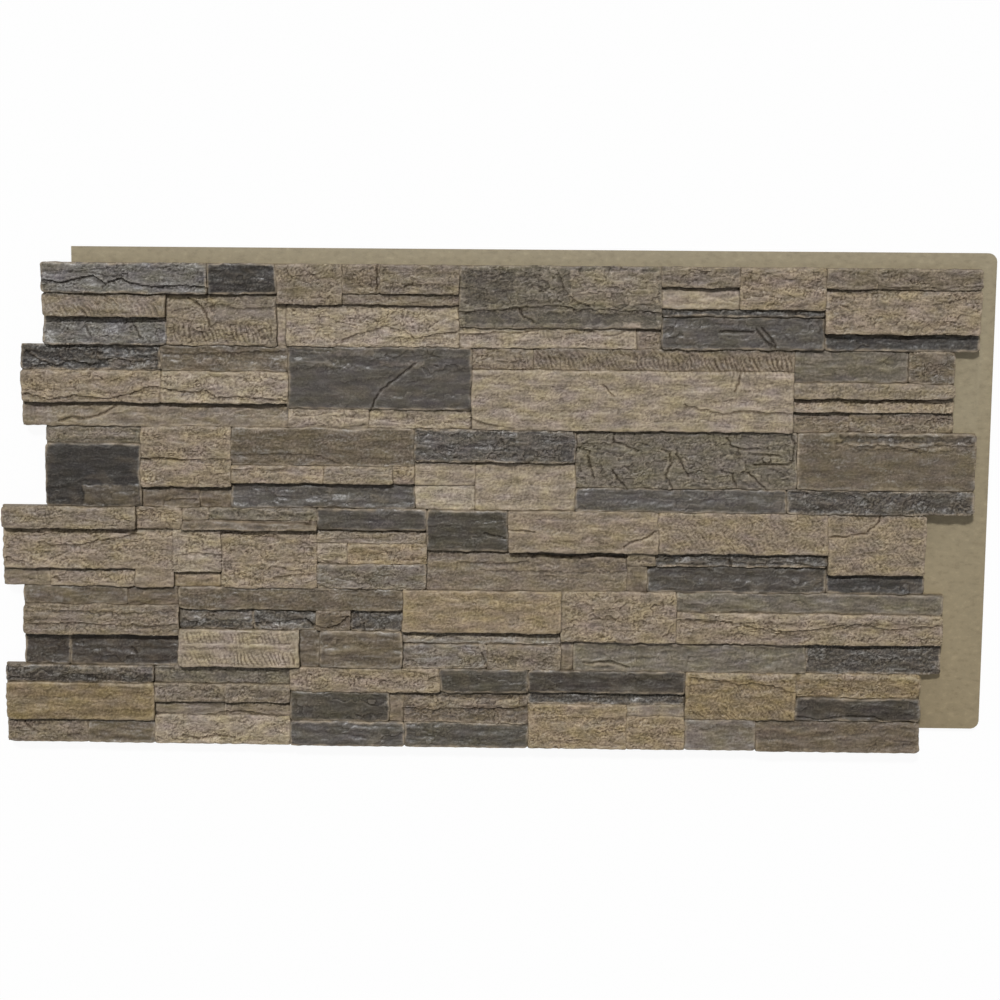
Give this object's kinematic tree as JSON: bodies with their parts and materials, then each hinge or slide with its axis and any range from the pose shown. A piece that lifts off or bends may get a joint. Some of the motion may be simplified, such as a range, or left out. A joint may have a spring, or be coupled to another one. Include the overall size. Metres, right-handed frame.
{
  "type": "faux stone wall panel",
  "caption": "Moulded faux ledgestone wall panel with staggered interlocking ends, a flange along the top and right, and matching rabbets behind the left and bottom.",
  "frame": {"origin": "on the back, under the middle of the panel's overall box", "axes": "+X along the courses, to the right as seen from the face; +Y up the wall; +Z out of the stone face. The panel lies on its back, which is on z = 0."},
  "size_m": [1.238, 0.629, 0.0318],
  "materials": {
    "panel": "rigid polyurethane foam, moulded with a split-stone texture and painted tan, grey-olive and charcoal with dry-brushed highlights; the flange is plain khaki"
  },
  "bodies": {
    "root": {"panel": "panel"}
  },
  "joints": []
}
